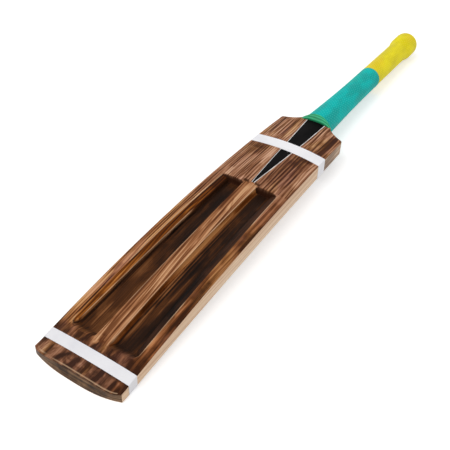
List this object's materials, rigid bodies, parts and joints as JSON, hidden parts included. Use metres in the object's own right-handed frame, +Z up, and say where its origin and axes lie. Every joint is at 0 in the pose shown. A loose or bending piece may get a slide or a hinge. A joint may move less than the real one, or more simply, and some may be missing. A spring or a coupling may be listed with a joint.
{
  "type": "tennis ball cricket bat",
  "caption": "Cricket bat with a scooped burnt-willow blade, taped at toe and shoulder, and a spliced laminated cane handle in two-tone rubber grips.",
  "frame": {"origin": "middle of the bat's footprint on the ground it lies on, halfway between the toe and the end of the handle", "axes": "+X along the bat from the toe to the handle, +Y across the blade, +Z up out of the scooped back; the hitting face looks down"},
  "size_m": [0.8542, 0.1084, 0.0475],
  "materials": {
    "willow": "burnt and lacquered on the back, bare on the sides and face",
    "cane": "bare, glued",
    "spring_rubber": "matte",
    "twine": "glued thread",
    "teal_rubber": "matte, dimpled",
    "yellow_rubber": "matte, dimpled",
    "green_rubber": "satin",
    "white_tape": "satin cloth tape",
    "white_edging": "gloss",
    "black_film": "satin"
  },
  "bodies": {
    "root": {"blade": "willow", "cane_face_left": "cane", "cane_face_middle": "cane", "cane_face_right": "cane", "cane_mid_face_left": "cane", "cane_mid_face_middle": "cane", "cane_mid_face_right": "cane", "cane_mid_back_left": "cane", "cane_mid_back_middle": "cane", "cane_mid_back_right": "cane", "cane_back_left": "cane", "cane_back_middle": "cane", "cane_back_right": "cane", "rubber_spring_face": "spring_rubber", "rubber_spring_centre": "spring_rubber", "rubber_spring_back": "spring_rubber", "twine_binding": "twine", "lower_grip": "teal_rubber", "upper_grip": "yellow_rubber", "grip_collar": "green_rubber", "toe_tape": "white_tape", "shoulder_tape": "white_tape", "splice_panel": "black_film", "splice_edging": "white_edging"}
  },
  "joints": []
}
